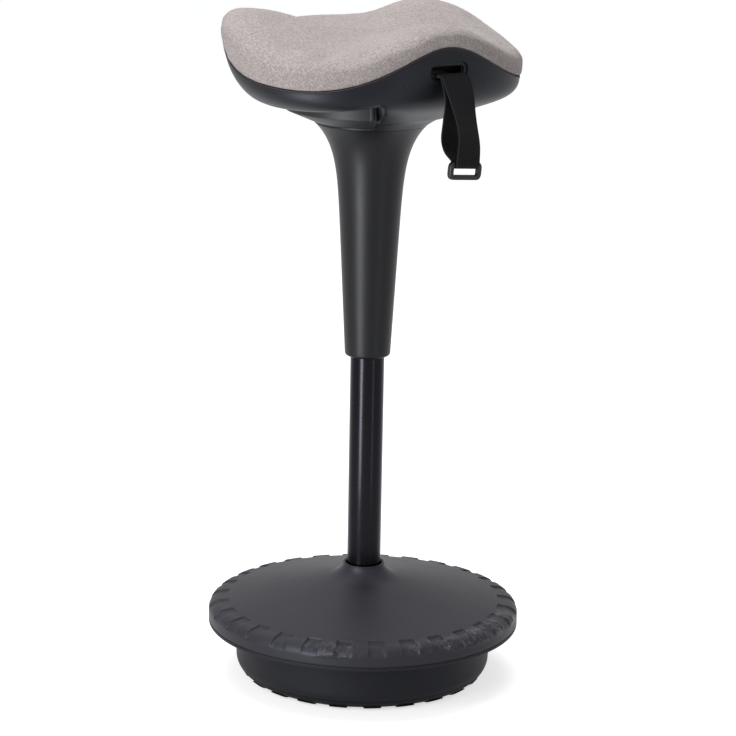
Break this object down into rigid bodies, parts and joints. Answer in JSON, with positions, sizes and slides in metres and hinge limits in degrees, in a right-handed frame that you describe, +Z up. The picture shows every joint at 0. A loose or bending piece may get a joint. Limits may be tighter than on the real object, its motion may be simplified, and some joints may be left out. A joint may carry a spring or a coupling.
{
  "type": "perch stool",
  "caption": "Height-adjustable perch stool: saddle-shaped fabric seat on a gas column over a round weighted base with a lugged rubber sole, hand lever and pull strap.",
  "frame": {"origin": "centre of the round base at floor level", "axes": "+Z up along the column, -Y towards the front of the seat (the side with the strap), -X towards the sitter's right (the lever side)"},
  "size_m": [0.37, 0.37, 0.7943],
  "materials": {
    "rubber": "matt moulded rubber",
    "base_plastic": "satin black",
    "base_rubber": "satin moulded rubber skin",
    "cast_iron": "as cast, painted",
    "steel": "zinc plated",
    "black_steel": "gloss black",
    "bright_steel": "ground and polished",
    "nylon": "natural",
    "satin_plastic": "satin black",
    "board": "moulded plywood, dark stain",
    "foam": "open cell foam",
    "seat_fabric": "light warm grey woven melange",
    "webbing": "black flat webbing",
    "ring_metal": "dark satin metal"
  },
  "bodies": {
    "base": {"rubber_sole": "rubber", "base_bowl": "base_plastic", "base_cover": "base_rubber", "ballast_weight": "cast_iron", "column_socket": "steel", "flange_screw_1": "steel", "flange_screw_2": "steel", "flange_screw_3": "steel", "flange_screw_4": "steel", "stand_tube": "black_steel", "guide_bushing": "nylon", "bearing_lower_washer": "steel", "bearing_ball_cage": "steel"},
    "rod": {"piston_rod": "bright_steel", "rod_piston": "steel", "bearing_upper_washer": "steel", "rod_bumper": "rubber", "rod_washer": "steel", "rod_clip": "steel"},
    "seat": {"gas_cylinder": "black_steel", "cylinder_gland": "nylon", "column_sleeve": "satin_plastic", "seat_plate": "steel", "plate_bolt_1": "steel", "plate_bolt_2": "steel", "plate_bolt_3": "steel", "plate_bolt_4": "steel", "seat_board": "board", "seat_shell": "satin_plastic", "cushion_foam": "foam", "cushion_cover": "seat_fabric", "slot_bezel": "satin_plastic", "strap_clamp_bar": "steel", "clamp_screw_1": "steel", "clamp_screw_2": "steel", "lever_pivot_pin": "steel", "strap_tail": "webbing"},
    "lever": {"lever_paddle": "satin_plastic", "lever_arm": "steel", "lever_screw": "steel"},
    "pin": {"release_pin": "bright_steel"},
    "strap": {"pull_strap": "webbing"},
    "ring": {"strap_ring": "ring_metal"}
  },
  "joints": [
    {"name": "seat_swivel", "type": "hinge", "parent": "base", "child": "rod", "pos_m": [0, 0, 0.0225], "axis": [0, 0, 1], "continuous": true},
    {"name": "seat_height", "type": "slide", "parent": "rod", "child": "seat", "axis": [0, 0, 1], "range_m": [-0.185, 0.05]},
    {"name": "lever_lift", "type": "hinge", "parent": "seat", "child": "lever", "pos_m": [-0.038, 0, 0.696], "axis": [0, 1, 0], "range_deg": [0, 4.5], "stiffness_Nm_per_rad": 0.8, "springref_deg": -11.46},
    {"name": "release_press", "type": "slide", "parent": "seat", "child": "pin", "axis": [0, 0, -1], "range_m": [0, 0.003]},
    {"name": "strap_swing", "type": "hinge", "parent": "seat", "child": "strap", "pos_m": [0, -0.147, 0.7406], "axis": [-1, 0, 0], "range_deg": [-4, 80]},
    {"name": "ring_swing", "type": "hinge", "parent": "strap", "child": "ring", "pos_m": [0.0042, -0.1715, 0.6414], "axis": [-0.9783, -0.1725, 0.1149], "range_deg": [-75, 75]}
  ],
  "couplings": [
    {"joint": "release_press", "follows": "lever_lift", "m_per_rad": 0.038}
  ]
}
